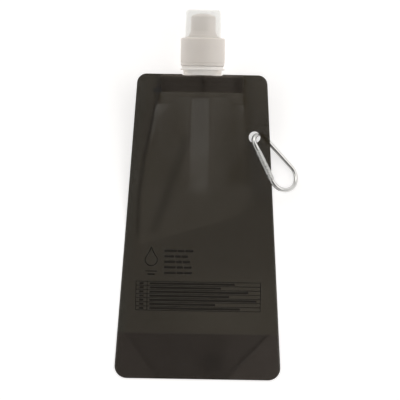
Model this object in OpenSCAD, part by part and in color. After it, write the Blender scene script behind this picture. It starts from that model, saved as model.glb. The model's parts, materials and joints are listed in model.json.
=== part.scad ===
// Folding water bottle: an empty flat film pouch lying on a table, with a
// screw cap, a push-pull nozzle, a dust cover and a carabiner clipped through
// a punched hole. X runs across the pouch, Y from its bottom edge to the cap,
// and Z up from the table. The origin is the middle of the flat lower half's
// underside. Heights along the pouch are counted from its bottom edge.

/* [Pouch] */
// Height of the pouch from its bottom edge to its top edge
pouch_h = 222; // [215:1:230]
// Width of the pouch along its bottom edge
pouch_bottom_w = 122; // [118:1:126]
// Width of the pouch along its top edge
pouch_top_w = 94; // [92:1:98]
// Radius of the two bottom corners
bottom_corner_r = 9.5; // [6:0.5:12]
// Radius of the two top corners
top_corner_r = 6.5; // [4:0.5:9]
// Thickness of one layer of film
film_t = 0.25; // [0.2:0.05:0.3]
// Height of the bottom gusset's inner fold above the bottom edge
gusset_h = 33; // [28:1:38]
// Height of the crosswise fold line above the bottom edge
fold_y = 87; // [84:1:90]
// How far the front film stands off the back film when the pouch is empty
puff_h = 1.4; // [0.8:0.1:1.6]
// Diameter of the punched carabiner hole
hole_d = 8.4; // [8.2:0.1:8.8]
// Distance of the hole's centre from the bottle's centreline
hole_x = 38.7; // [38.5:0.1:39]
// Height of the hole's centre above the bottom edge
hole_y = 177; // [176:0.5:178]

/* [Spout] */
// Width of the boat that is welded between the films
boat_w = 59; // [54:1:62]
// Thickness of the boat at its middle
boat_t = 25; // [24.6:0.1:25.4]
// Height of the boat along the bottle's axis
boat_h = 13; // [11:1:14]
// Radius of the water passage
bore_r = 10.9; // [10:0.1:11]
// Radius of the neck under the thread
neck_r = 12.45; // [12.3:0.05:12.5]
// Radius of the support flange
flange_r = 16.1; // [15.5:0.1:16.1]
// Axial rise of the neck thread in one turn
thread_pitch = 3; // [2.8:0.1:3.2]

/* [Cap] */
// Outside radius of the screw cap
cap_r = 16.1; // [15.9:0.1:16.5]
// Height of the screw cap's skirt
cap_h = 20.4; // [20.4:0.1:21]
// Gap between the pouch's top edge and the cap's lower rim
cap_gap = 6; // [5.8:0.1:6.4]
// Outside radius of the dust cover at its rim
cover_r = 13.4; // [13.3:0.1:13.8]
// Height of the dust cover
cover_h = 20.8; // [20.2:0.1:21]
// Outside radius of the nozzle
nozzle_r = 8.8; // [8.6:0.1:9]

/* [Carabiner] */
// Diameter of the carabiner's rod
rod_d = 3.6; // [3.4:0.1:3.6]
// Bend radius of the narrow end, to the rod's centreline
narrow_r = 5.2; // [5:0.1:5.4]
// Bend radius of the wide end, to the rod's centreline
wide_r = 10.7; // [10.5:0.1:10.9]
// Distance between the centres of the two bends
bend_spacing = 30.5; // [30:0.5:31]
// Diameter of the gate
gate_d = 4.4; // [4.2:0.1:4.4]
// Turn of the carabiner away from the bottle's length
carabiner_turn = 34.5; // [33:0.5:36]
// Tilt of the carabiner about its own length
carabiner_tilt = 36; // [35:0.5:37]
// Dip of the carabiner's wide end
carabiner_dip = 1.8; // [1.6:0.1:2]

/* [Hidden] */
$fn = 48;

film_colour = [0.22, 0.21, 0.19];
natural_colour = [0.80, 0.78, 0.75];
metal_colour = [0.80, 0.80, 0.81];

// Places along the bottle
rest_y = fold_y / 2;                // height of the origin above the bottom edge
axis_h = cap_r;                     // the spout's axis lies this far above the table
boat_y0 = pouch_h - boat_h - 0.5;
cap_y0 = pouch_h + cap_gap;
cap_y1 = cap_y0 + cap_h;
rise_y0 = 130;                      // the film starts to lift off the table here
rise_y1 = boat_y0 - 1.5;
split_gap = 0.2;                    // half of the clearance at the fold line
gusset_fade = 4;                    // the front film steps down over this length

// Outline of the pouch
function half_w(y) = (pouch_bottom_w + (pouch_top_w - pouch_bottom_w) * y / pouch_h) / 2;
function corner_cut(d, r) = d < r ? r - sqrt(max(0, r * r - (r - d) * (r - d))) : 0;
function edge_x(y) =
    half_w(y) - corner_cut(y, bottom_corner_r) - corner_cut(pouch_h - y, top_corner_r);
function corner_rows(r) = [for (a = [0:15:90]) r * (1 - cos(a))];
function even_rows(y0, y1, count) = [for (i = [1:count - 1]) y0 + (y1 - y0) * i / count];

lower_rows = concat(
    corner_rows(bottom_corner_r),
    even_rows(bottom_corner_r, gusset_h, 3),
    [gusset_h, gusset_h + gusset_fade],
    even_rows(gusset_h + gusset_fade, fold_y - split_gap, 5),
    [fold_y - split_gap]
);
upper_rows = concat(
    [fold_y + split_gap],
    even_rows(fold_y + split_gap, pouch_h - top_corner_r, 18),
    [for (d = [6:-1:0]) pouch_h - corner_rows(top_corner_r)[d]]
);
inner_columns = 8;                  // on each side, over the boat
outer_columns = 4;                  // on each side, from the boat to the edge

// Heights of the films above the table
function smooth(t) = let (c = min(max(t, 0), 1)) c * c * (3 - 2 * c);
lens_r = ((boat_w / 2) ^ 2 + (boat_t / 2) ^ 2) / boat_t;
lens_clear = 0.12;
lens_half_w = boat_w / 2 + 0.6;
function lens(x) = abs(x) < lens_half_w - 0.01
    ? max(0, sqrt(lens_r * lens_r - x * x) - lens_r + boat_t / 2 + lens_clear)
    : 0;
// A straight climb from 0 to 1 that starts and ends in a short curve of length ease
ease = 0.12;
function climb(t) =
    t <= 0 ? 0 : t >= 1 ? 1 :
    t < ease ? t ^ 2 / (2 * ease * (1 - ease)) :
    t > 1 - ease ? 1 - (1 - t) ^ 2 / (2 * ease * (1 - ease)) :
    (t - ease / 2) / (1 - ease);
function lift(y) = climb((y - rise_y0) / (rise_y1 - rise_y0));
function seam_z(y) = film_t + (axis_h - film_t) * lift(y);
function free_half_w(y) = half_w(y) - 10 - 8 * smooth((y - 115) / 35);
function puff(x, y) =
    let (across = max(0, 1 - (x / free_half_w(y)) ^ 2))
    puff_h * across * smooth(y / 30) * smooth((boat_y0 - y) / 40);
function gusset_step(y) =
    2 * film_t * min(max((gusset_h + gusset_fade - y) / gusset_fade, 0), 1);
function back_low(x, y) = seam_z(y) - lens(x) * lift(y) - film_t;
function front_low(x, y) =
    seam_z(y) + lens(x) * lift(y) + puff(x, y) + gusset_step(y);
// The film's columns at one height: closer together towards the boat's ends, where it
// curves most, then evenly to the edge
function column_x(c, y) = let (k = abs(c)) sign(c) * (k <= inner_columns
    ? lens_half_w * sin(90 * k / inner_columns)
    : lens_half_w + (edge_x(y) - lens_half_w) * (k - inner_columns) / outer_columns);

// Tangent plane of the film at the hole, and the carabiner's place in it
hole_z = seam_z(hole_y);
hole_slope = atan(seam_z(hole_y + 0.5) - seam_z(hole_y - 0.5));
rod_r = rod_d / 2;
side_r = rod_r - 0.02;              // the straight sides are a hair thinner than the bends
gate_r = gate_d / 2;
side_lean = asin((wide_r - narrow_r) / bend_spacing);
side_length = bend_spacing * cos(side_lean);
wide_centre = narrow_r + bend_spacing;

// Stations along the gate side, from the end of the narrow bend
nose_s = 6.5;
gate_s0 = 7;
latch_s = 9.1;
nose_tip_s = 10.5;
hinge_s = 27.4;
heel_tip_s = 25.5;
tongue_t = 1.5;
slot_t = 1.9;
pin_r = 0.6;
spring_bore_r = 1.1;
plunger_s0 = 22.2;
plunger_s1 = 25.45;
spring_s0 = 13;

// A thin solid between two heights over a grid of rows and columns
module film_solid(rows, low) {
    side = inner_columns + outer_columns;
    nr = len(rows);
    nc = 2 * side + 1;
    xs = [for (y = rows) [for (c = [-side:side]) column_x(c, y)]];
    bottom = [for (r = [0:nr - 1]) for (c = [0:nc - 1])
        [xs[r][c], rows[r] - rest_y, low(xs[r][c], rows[r])]];
    top = [for (p = bottom) [p.x, p.y, p.z + film_t]];
    n = nr * nc;
    function at(r, c) = r * nc + c;
    under = [for (r = [0:nr - 2]) for (c = [0:nc - 2]) each [
        [at(r, c), at(r, c + 1), at(r + 1, c + 1)],
        [at(r, c), at(r + 1, c + 1), at(r + 1, c)]
    ]];
    over = [for (f = under) [f[2] + n, f[1] + n, f[0] + n]];
    rim = concat(
        [for (c = [0:nc - 2]) [at(0, c), at(0, c + 1)]],
        [for (r = [0:nr - 2]) [at(r, nc - 1), at(r + 1, nc - 1)]],
        [for (c = [nc - 1:-1:1]) [at(nr - 1, c), at(nr - 1, c - 1)]],
        [for (r = [nr - 1:-1:1]) [at(r, 0), at(r - 1, 0)]]
    );
    sides = [for (e = rim) each [
        [e[1], e[0], e[0] + n],
        [e[1], e[0] + n, e[1] + n]
    ]];
    polyhedron(concat(bottom, top), concat(under, over, sides));
}

module punched_hole() {
    translate([hole_x, hole_y - rest_y, hole_z])
        rotate([hole_slope, 0, 0])
            cylinder(r = hole_d / 2, h = 12, center = true);
}

module outline(rows) {
    right = [for (y = rows) [edge_x(y), y - rest_y]];
    left = [for (i = [len(right) - 1:-1:0]) [-right[i].x, right[i].y]];
    polygon(concat(right, left));
}

module front_film_upper() {
    color(film_colour) difference() {
        film_solid(upper_rows, function(x, y) front_low(x, y));
        punched_hole();
    }
}

module front_film_lower() {
    color(film_colour)
        film_solid(lower_rows, function(x, y) front_low(x, y));
}

module back_film_upper() {
    color(film_colour) difference() {
        film_solid(upper_rows, function(x, y) back_low(x, y));
        punched_hole();
    }
}

module back_film_lower() {
    color(film_colour) linear_extrude(film_t) outline(lower_rows);
}

// The folded film at the bottom, open downwards between its two halves
module gusset_film() {
    slit = 0.08;
    fold_w = 0.5;
    color(film_colour) intersection() {
        translate([0, 0, -1]) linear_extrude(5) outline(lower_rows);
        difference() {
            translate([-pouch_bottom_w, -rest_y, film_t])
                cube([2 * pouch_bottom_w, gusset_h, 2 * film_t]);
            translate([-pouch_bottom_w - 1, -rest_y - 1, 2 * film_t - slit / 2])
                cube([2 * pouch_bottom_w + 2, gusset_h - fold_w + 1, slit]);
        }
    }
}

// Stands children drawn along +Z on the bottle's axis, so that Z becomes Y
module on_axis() {
    translate([0, -rest_y, axis_h]) rotate([-90, 0, 0]) children();
}

// A helical ridge of trapezoid section. Depth is negative for an inside thread.
module thread(root_r, depth, z0, turns) {
    steps_per_turn = 24;
    steps = turns * steps_per_turn;
    root_w = 1.7;
    crest_w = 0.8;
    bite = depth > 0 ? -0.3 : 0.3;
    rings = [for (i = [0:steps])
        let (
            a = 360 * i / steps_per_turn,
            z = z0 + thread_pitch * i / steps_per_turn,
            grown = smooth(min(i, steps - i) / 3) * 0.98 + 0.02,
            crest = root_r + depth * grown
        )
        each [for (p = [
            [root_r + bite, -root_w / 2], [crest, -crest_w / 2],
            [crest, crest_w / 2], [root_r + bite, root_w / 2]
        ]) [p.x * cos(a), p.x * sin(a), z + p.y]]];
    quads = [for (i = [0:steps - 1]) for (k = [0:3])
        let (a = 4 * i + k, b = 4 * i + (k + 1) % 4) each [
            [a, b, b + 4], [a, b + 4, a + 4]
        ]];
    last = 4 * steps;
    ends = [[0, 2, 1], [0, 3, 2], [last, last + 1, last + 2], [last, last + 2, last + 3]];
    faces = concat(quads, ends);
    polyhedron(rings, depth > 0 ? faces : [for (f = faces) [f[2], f[1], f[0]]]);
}

module boat_section(thickness) {
    r = ((boat_w / 2) ^ 2 + (thickness / 2) ^ 2) / thickness;
    intersection() {
        translate([0, r - thickness / 2]) circle(r, $fn = 96);
        translate([0, thickness / 2 - r]) circle(r, $fn = 96);
    }
}

neck_top = cap_y1 - 2.9;
thread_z0 = cap_y0 + 8;
thread_turns = 1.5;
thread_depth = 1.15;

// Boat, neck, flange and thread in one moulding
module spout() {
    rib_count = 4;
    rib_pitch = 3.4;
    rib_h = 1.6;
    rib_depth = 0.4;
    collar_r = 13.9;
    collar_z = pouch_h + 0.3;
    flange_z = pouch_h + 3;
    flange_h = 1.2;
    seat_r = 13.2;
    seat_z = pouch_h + 4;
    seat_h = 4;
    color(natural_colour) on_axis() difference() {
        union() {
            translate([0, 0, boat_y0])
                linear_extrude(boat_h) boat_section(boat_t - 2 * rib_depth);
            for (i = [0:rib_count - 1])
                translate([0, 0, boat_y0 + 0.6 + rib_pitch * i])
                    linear_extrude(rib_h) boat_section(boat_t);
            translate([0, 0, boat_y0]) cylinder(r = boat_t / 2 - rib_depth, h = boat_h + 1);
            translate([0, 0, collar_z]) cylinder(r = collar_r, h = flange_z - collar_z);
            translate([0, 0, flange_z]) cylinder(r = flange_r, h = flange_h);
            translate([0, 0, seat_z]) cylinder(r = seat_r, h = seat_h);
            translate([0, 0, seat_z]) cylinder(r = neck_r, h = neck_top - seat_z);
            thread(neck_r, thread_depth, thread_z0, thread_turns);
        }
        translate([0, 0, boat_y0 - 1]) cylinder(r = bore_r, h = neck_top - boat_y0 + 2);
    }
}

module cap_seal() {
    seal_r = 13.9;
    seal_bore_r = 6.2;
    seal_t = 1.1;
    seal_gap = 0.05;
    color("white") on_axis() translate([0, 0, neck_top + seal_gap]) difference() {
        cylinder(r = seal_r, h = seal_t);
        translate([0, 0, -1]) cylinder(r = seal_bore_r, h = seal_t + 2);
    }
}

plate_t = 1.7;
plate_z = cap_y1 - plate_t;
tower_r = 6.9;
tower_bore_r = 5.4;
plug_r = 2.35;
crown_z = cap_y1 + 17.4;

// Skirt with an inside thread, top plate, valve tower and the plug on its spokes
module screw_cap() {
    skirt_r = 14.15;
    ledge_r = 12.3;
    ledge_h = 0.8;
    tower_h = 12.6;
    bead_r = 7.3;
    bead_z = 11.2;
    bead_h = 0.8;
    root = 0.5;                     // how deep the tower is set into the top plate
    spoke_w = 1.4;
    stem_r = 2;
    plug_h = 2.6;
    color(natural_colour) on_axis() {
        difference() {
            rotate_extrude() polygon([
                [0, cap_y0], [cap_r - 0.4, cap_y0], [cap_r, cap_y0 + 0.4],
                [cap_r, cap_y1 - 1], [cap_r - 0.3, cap_y1 - 0.3], [cap_r - 1, cap_y1],
                [0, cap_y1]
            ]);
            translate([0, 0, cap_y0 - 1]) cylinder(r = skirt_r, h = plate_z - cap_y0 + 1);
            translate([0, 0, plate_z - 1]) cylinder(r = tower_bore_r, h = 4);
        }
        thread(skirt_r, -thread_depth, thread_z0 - thread_pitch / 2, thread_turns);
        translate([0, 0, cap_y1 - root]) difference() {
            union() {
                cylinder(r = ledge_r, h = ledge_h + root);
                cylinder(r = tower_r, h = tower_h + root);
                translate([0, 0, bead_z + root]) cylinder(r = bead_r, h = bead_h);
            }
            translate([0, 0, -1]) cylinder(r = tower_bore_r, h = tower_h + root + 3);
        }
        for (a = [0:120:240])
            rotate([0, 0, a]) translate([1, -spoke_w / 2, plate_z]) cube([5, spoke_w, plate_t]);
        translate([0, 0, plate_z]) cylinder(r = stem_r, h = crown_z - 3 - plate_z);
        translate([0, 0, crown_z - 3.4]) cylinder(r = plug_r, h = plug_h);
    }
}

// Drinking nozzle, which slides on the tower and opens around the plug
module nozzle() {
    outlet_r = plug_r + 0.1;
    foot_r = 11.2;
    slide_r = tower_r + 0.1;
    guide_r = 7.45;
    base_z = cap_y1 + 1;
    shoulder_z = crown_z - 2;
    lip_top = cap_y1 + 8.6;
    color(natural_colour) on_axis() rotate_extrude() polygon([
        [slide_r, base_z], [foot_r, base_z], [foot_r, base_z + 0.7], [foot_r - 1.3, base_z + 1.5],
        [nozzle_r + 0.3, base_z + 3.2], [nozzle_r, base_z + 4.4], [nozzle_r - 0.2, shoulder_z - 1.2],
        [nozzle_r - 0.7, shoulder_z - 0.3], [nozzle_r - 1.8, shoulder_z],
        [5.2, shoulder_z + 0.3], [4.6, crown_z - 0.6], [3.9, crown_z], [outlet_r, crown_z],
        [outlet_r, crown_z - 2.8], [tower_bore_r + 0.1, crown_z - 2.8], [guide_r, crown_z - 4],
        [guide_r, lip_top], [slide_r, lip_top - 0.5]
    ]);
}

module dust_cover() {
    wall = 0.8;
    top_r = cover_r - 0.4;
    round_r = 2.2;
    base_z = cap_y1 + 0.1;
    roof_z = base_z + cover_h;
    function shoulder(r) = [for (a = [0:15:90])
        [top_r - round_r + r * cos(a), roof_z - round_r + r * sin(a)]];
    outside = concat([[cover_r, base_z]], shoulder(round_r), [[0, roof_z]]);
    inside = concat([[cover_r - wall, base_z]], shoulder(round_r - wall), [[0, roof_z - wall]]);
    color([0.9, 0.93, 0.93, 0.35]) on_axis() rotate_extrude($fn = 96)
        polygon(concat(outside, [for (i = [len(inside) - 1:-1:0]) inside[i]]));
}

// Where the narrow bend's top lies from the middle of the hole
bend_offset = [1.1, 1.5, -0.7];

// Places the carabiner: its narrow bend's top is at the origin and it runs along -Y
module at_hole() {
    translate([hole_x, hole_y - rest_y, hole_z] + bend_offset)
        rotate([carabiner_dip, 0, carabiner_turn])
            rotate([0, carabiner_tilt, 0])
                children();
}

// Stations along the gate side run along +X, and +Y points into the loop
module on_gate_side() {
    translate([-narrow_r * cos(side_lean), narrow_r * (sin(side_lean) - 1), 0])
        rotate([0, 0, -90 - side_lean])
            children();
}

module bend(radius, start, sweep) {
    rotate([0, 0, start]) rotate_extrude(angle = sweep) translate([radius, 0]) circle(rod_r);
}

module bar(s0, s1, radius) {
    translate([s0, 0, 0]) rotate([0, 90, 0]) cylinder(r = radius, h = s1 - s0);
}

module cross_pin(s, radius, length) {
    translate([s, 0, 0]) cylinder(r = radius, h = length, center = true);
}

module tongue(s0, s1) {
    intersection() {
        bar(s0, s1, side_r);
        translate([s0, -rod_d, -tongue_t / 2]) cube([s1 - s0, 2 * rod_d, tongue_t]);
    }
}

// Bent rod with a notched nose and a drilled heel
module carabiner_frame() {
    lap = 0.3;
    color(metal_colour) at_hole() union() {
        translate([0, -narrow_r, 0]) bend(narrow_r, side_lean, 180 - 2 * side_lean);
        translate([0, -wide_centre, 0]) bend(wide_r, 180 - side_lean, 180 + 2 * side_lean);
        mirror([1, 0, 0]) on_gate_side() bar(-lap, side_length + lap, side_r);
        on_gate_side() bar(-lap, nose_s, side_r);
        on_gate_side() difference() {
            tongue(nose_s - 0.5, nose_tip_s);
            cross_pin(latch_s, pin_r + 0.12, 4);
            translate([latch_s - pin_r - 0.12, 0, -2]) cube([2 * (pin_r + 0.12), 4, 4]);
        }
        on_gate_side() difference() {
            tongue(heel_tip_s, side_length + lap);
            cross_pin(hinge_s, pin_r + 0.1, 4);
        }
    }
}

// Round gate, slotted at both ends and bored for the spring
module carabiner_gate() {
    groove_count = 9;
    groove_s0 = 14.6;
    groove_pitch = 0.9;
    groove_w = 0.35;
    groove_depth = 0.2;
    color(metal_colour) at_hole() on_gate_side() difference() {
        intersection() {
            bar(gate_s0, hinge_s + gate_r, gate_r);
            union() {
                translate([gate_s0, -gate_r, -gate_r])
                    cube([hinge_s - gate_s0, gate_d, gate_d]);
                cross_pin(hinge_s, gate_r, gate_d);
            }
        }
        translate([gate_s0 - 1, -gate_d, -slot_t / 2])
            cube([nose_tip_s + 0.6 - gate_s0 + 1, 2 * gate_d, slot_t]);
        translate([heel_tip_s - 0.6, -gate_d, -slot_t / 2])
            cube([8, 2 * gate_d, slot_t]);
        bar(spring_s0 - 0.25, heel_tip_s, spring_bore_r);
        cross_pin(latch_s, pin_r, 2 * gate_d);
        cross_pin(hinge_s, pin_r, 2 * gate_d);
        for (i = [0:groove_count - 1])
            translate([groove_s0 + groove_pitch * i, 0, 0]) rotate([0, 90, 0]) difference() {
                cylinder(r = gate_r + 1, h = groove_w);
                translate([0, 0, -1]) cylinder(r = gate_r - groove_depth, h = 3);
            }
    }
}

module gate_hinge_pin() {
    color(metal_colour) at_hole() on_gate_side() cross_pin(hinge_s, pin_r, gate_d - 0.4);
}

module gate_latch_pin() {
    color(metal_colour) at_hole() on_gate_side() cross_pin(latch_s, pin_r, gate_d - 0.4);
}

// Spring-loaded plunger that bears on the frame's heel
module gate_plunger() {
    color(metal_colour) at_hole() on_gate_side() union() {
        bar(plunger_s0, plunger_s1, 0.85);
        bar(plunger_s0, plunger_s0 + 0.8, spring_bore_r - 0.08);
    }
}

// Compression spring behind the plunger
module gate_spring() {
    wire_r = 0.16;
    coil_r = 0.82;
    turns = 8;
    per_turn = 12;
    sides = 6;
    rise = (plunger_s0 - 0.2 - spring_s0) / (turns * per_turn);
    count = turns * per_turn;
    rings = [for (i = [0:count]) for (k = [0:sides - 1])
        let (a = 360 * i / per_turn, b = 360 * k / sides, r = coil_r + wire_r * cos(b))
        [spring_s0 + rise * i + wire_r * sin(b), r * cos(a), r * sin(a)]];
    skin = [for (i = [0:count - 1]) for (k = [0:sides - 1])
        let (a = i * sides + k, b = i * sides + (k + 1) % sides) each [
            [a, b, b + sides], [a, b + sides, a + sides]
        ]];
    first = [for (k = [1:sides - 2]) [0, k + 1, k]];
    last = [for (k = [1:sides - 2]) [for (j = [0, k, k + 1]) count * sides + j]];
    color("silver") at_hole() on_gate_side() polyhedron(rings, concat(skin, first, last));
}

front_film_upper();
front_film_lower();
back_film_upper();
back_film_lower();
gusset_film();
spout();
cap_seal();
screw_cap();
nozzle();
dust_cover();
carabiner_frame();
carabiner_gate();
gate_hinge_pin();
gate_latch_pin();
gate_plunger();
gate_spring();
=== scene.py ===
import json
import math

import bmesh
import bpy
from mathutils import Matrix, Vector, noise


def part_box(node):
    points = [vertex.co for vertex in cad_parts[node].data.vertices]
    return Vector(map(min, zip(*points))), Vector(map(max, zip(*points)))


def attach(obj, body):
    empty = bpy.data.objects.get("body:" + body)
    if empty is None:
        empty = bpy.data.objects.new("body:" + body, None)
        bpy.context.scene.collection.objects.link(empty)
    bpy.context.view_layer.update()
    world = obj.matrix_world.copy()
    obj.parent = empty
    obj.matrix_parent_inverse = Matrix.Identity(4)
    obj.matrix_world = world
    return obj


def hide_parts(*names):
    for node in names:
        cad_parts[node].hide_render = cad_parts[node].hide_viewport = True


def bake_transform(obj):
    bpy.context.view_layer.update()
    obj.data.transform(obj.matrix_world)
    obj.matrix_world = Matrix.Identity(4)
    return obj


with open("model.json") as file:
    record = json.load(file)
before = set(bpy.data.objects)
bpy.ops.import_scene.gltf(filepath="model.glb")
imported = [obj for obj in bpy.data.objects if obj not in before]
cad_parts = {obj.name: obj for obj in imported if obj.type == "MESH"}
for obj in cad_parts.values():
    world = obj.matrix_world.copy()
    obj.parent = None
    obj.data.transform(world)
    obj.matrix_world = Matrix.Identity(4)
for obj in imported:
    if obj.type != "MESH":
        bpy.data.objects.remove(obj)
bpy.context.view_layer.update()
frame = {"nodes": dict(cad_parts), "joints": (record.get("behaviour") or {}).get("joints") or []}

MM = 0.001
JOINTS = {j["name"]: j for j in frame["joints"]}


def box_mm(node):
    low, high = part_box(node)
    return Vector(low) / MM, Vector(high) / MM


# ---------------------------------------------------------------- dimensions
# Millimetres. Heights along the pouch (y) are counted from its bottom edge.
back_low, back_high = box_mm("back_film_lower")
spout_low, spout_high = box_mm("spout")
cap_low, cap_high = box_mm("screw_cap")
cover_low, cover_high = box_mm("dust_cover")
film_high = box_mm("front_film_upper")[1]

Y_BOTTOM = back_low.y
POUCH_H = film_high.y - Y_BOTTOM
POUCH_BOTTOM_W = 122.0
POUCH_TOP_W = 94.0
BOTTOM_CORNER_R = 9.5
TOP_CORNER_R = 6.5
CAD_FILM_T = back_high.z - back_low.z
FILM_T = 0.8 * CAD_FILM_T
GUSSET_H = 33.0
FOLD_Y = JOINTS["pouch_fold"]["pos_m"][1] / MM - Y_BOTTOM
PUFF_H = 1.4

AXIS_H = (cap_low.z + cap_high.z) / 2
BOAT_W = spout_high.x - spout_low.x
BOAT_T = 25.0
BOAT_H = 13.0
BOAT_Y0 = spout_low.y - Y_BOTTOM
BORE_R = 10.9
NECK_R = 12.45
CAP_R = (cap_high.z - cap_low.z) / 2
CAP_Y0 = cap_low.y - Y_BOTTOM
COVER_GAP = 0.1
CAP_Y1 = cover_low.y - COVER_GAP - Y_BOTTOM
THREAD_PITCH = 3.0

HOLE = Vector(JOINTS["carabiner_swing"]["pos_m"]) / MM
HOLE_X, HOLE_Y = HOLE.x, HOLE.y - Y_BOTTOM
HOLE_R = 4.2
ROD_R = 1.8
NARROW_R = 5.2
WIDE_R = 10.7
BEND_SPACING = 30.5
HINGE_S = 27.4

# The films rise from the table to the spout between these heights, easing in and out
RISE_Y0 = 130.0
RISE_Y1 = BOAT_Y0 - 1.5
EASE = 0.12
SHARP_EASE = 0.03


# ---------------------------------------------------------------- small maths
def clamp(t):
    return min(max(t, 0.0), 1.0)


def smooth(t):
    t = clamp(t)
    return t * t * (3 - 2 * t)


def climb(t, start, end):
    """A straight climb from 0 to 1 that starts and ends in a short curve."""
    slope = 1 / (1 - (start + end) / 2)
    if t <= 0:
        return 0.0
    if t >= 1:
        return 1.0
    if t < start:
        return slope * t * t / (2 * start)
    if t > 1 - end:
        return 1 - slope * (1 - t) ** 2 / (2 * end)
    return slope * (t - start / 2)


def fade(value, start, width):
    """0 up to the start, rising smoothly to 1 over the width. A negative width rises as the
    value falls."""
    return smooth((value - start) / width)


def hill(value, centre, half_width):
    """1 at the centre, falling smoothly to 0 on both sides."""
    return smooth(1 - abs(value - centre) / half_width)


def line_distance(x, y, a, b):
    """Signed distance from the line a to b, and how far along it (0 to 1)."""
    dx, dy = b[0] - a[0], b[1] - a[1]
    length = math.hypot(dx, dy)
    px, py = x - a[0], y - a[1]
    return (px * dy - py * dx) / length, (px * dx + py * dy) / length**2


# ---------------------------------------------------------------- camera
FRAME_W = 291.2
LENS = 800.0
SENSOR = 36.0
ROLL = math.radians(0.99)
VIEW_CENTRE = Vector((-0.2, 130.65 + Y_BOTTOM, 8.0))
CAMERA_H = FRAME_W * LENS / SENSOR

camera_data = bpy.data.cameras.new("camera")
camera_data.lens = LENS
camera_data.sensor_width = SENSOR
camera_data.clip_start = 1
camera_data.clip_end = 20
camera = bpy.data.objects.new("camera", camera_data)
bpy.context.collection.objects.link(camera)
camera.location = (VIEW_CENTRE + Vector((0, 0, CAMERA_H))) * MM
camera.rotation_euler = (0, 0, ROLL)
bpy.context.scene.camera = camera
bpy.context.scene.view_settings.view_transform = "Standard"


# ---------------------------------------------------------------- materials
GATE_RIB_PITCH = 1.25
# A wave texture at scale 1 repeats every pi / 10 of a unit
GATE_RIB_SCALE = math.pi / 10 / (GATE_RIB_PITCH * MM)
# Places of the colour sockets on a Mix node, which has others of the same names
MIX_A, MIX_B, MIX_RESULT = 6, 7, 2


class Nodes:
    """A short way to write a Principled material's node tree."""

    def __init__(self, name):
        self.mat = bpy.data.materials.new(name)
        self.mat.use_nodes = True
        self.tree = self.mat.node_tree
        self.shader = self.tree.nodes["Principled BSDF"]

    def add(self, kind, **inputs):
        node = self.tree.nodes.new("ShaderNode" + kind)
        for key, value in inputs.items():
            socket = key.replace("_", " ")
            if socket in node.inputs:
                self.put(node.inputs[socket], value)
            else:
                setattr(node, key, value)
        return node

    def put(self, socket, value):
        if isinstance(value, bpy.types.NodeSocket):
            self.tree.links.new(value, socket)
        else:
            socket.default_value = value

    def set(self, **inputs):
        for key, value in inputs.items():
            self.put(self.shader.inputs[key.replace("_", " ")], value)

    def coords(self, uv=False):
        """The object's own place, or the flat film's."""
        node = self.add("TexCoord")
        return node.outputs["UV" if uv else "Object"]

    def noise(self, scale, detail, uv=False, stretch=(1, 1, 1)):
        """Noise with about this many features in a metre."""
        mapping = self.add("Mapping", Vector=self.coords(uv))
        mapping.inputs["Scale"].default_value = stretch
        tex = self.add("TexNoise", Vector=mapping.outputs["Vector"], Scale=scale, Detail=detail)
        return tex.outputs["Fac"]

    def span(self, value, low, high):
        node = self.add("MapRange", Value=value)
        node.inputs["To Min"].default_value = low
        node.inputs["To Max"].default_value = high
        return node.outputs["Result"]

    def mix(self, factor, a, b, blend_type="MIX"):
        """A mix of two colours."""
        node = self.add("Mix", data_type="RGBA", blend_type=blend_type)
        self.put(node.inputs["Factor"], factor)
        self.put(node.inputs[MIX_A], a)
        self.put(node.inputs[MIX_B], b)
        return node.outputs[MIX_RESULT]

    def tint(self, value, a, b):
        return self.mix(value, (*a, 1), (*b, 1))

    def bump(self, height, depth_mm, strength, base=None):
        node = self.add("Bump", Height=height, Strength=strength, Distance=depth_mm * MM)
        if base is not None:
            self.put(node.inputs["Normal"], base)
        return node.outputs["Normal"]


def film_material(name, alpha, roughness, gloss):
    """Smoked film. Its colour comes from the mesh, so that seals and layers differ, and light
    and shade are painted into it there.
    """
    m = Nodes(name)
    ripple = m.noise(90, 2, uv=True, stretch=(1, 0.55, 1))
    grain = m.noise(2400, 2, uv=True)
    cloud = m.noise(25, 3, uv=True)
    shade = m.add("VertexColor", layer_name="shade")
    mottle = m.tint(cloud, (0.90, 0.90, 0.90), (1.06, 1.06, 1.06))
    m.set(
        Base_Color=m.mix(1.0, shade.outputs["Color"], mottle, "MULTIPLY"),
        Roughness=m.span(cloud, roughness - 0.03, roughness + 0.04),
        Alpha=alpha,
        Normal=m.bump(grain, 0.004, 0.2, m.bump(ripple, 0.1, 0.2)),
        IOR=1.5,
        Specular_IOR_Level=gloss,
    )
    return m.mat


def plastic_material(name, a, b, roughness, subsurface=0.0, alpha=1.0):
    """Moulded plastic with a fine grain, clouded a little between two colours."""
    m = Nodes(name)
    cloud = m.noise(60, 3)
    grain = m.noise(1800, 3)
    m.set(
        Base_Color=m.tint(cloud, a, b),
        Roughness=m.span(grain, roughness - 0.05, roughness + 0.07),
        Normal=m.bump(grain, 0.02, 0.4),
        Alpha=alpha,
        Subsurface_Weight=subsurface,
        Subsurface_Scale=3 * MM,
        Subsurface_Radius=(1.0, 0.95, 0.9),
    )
    return m.mat


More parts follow.
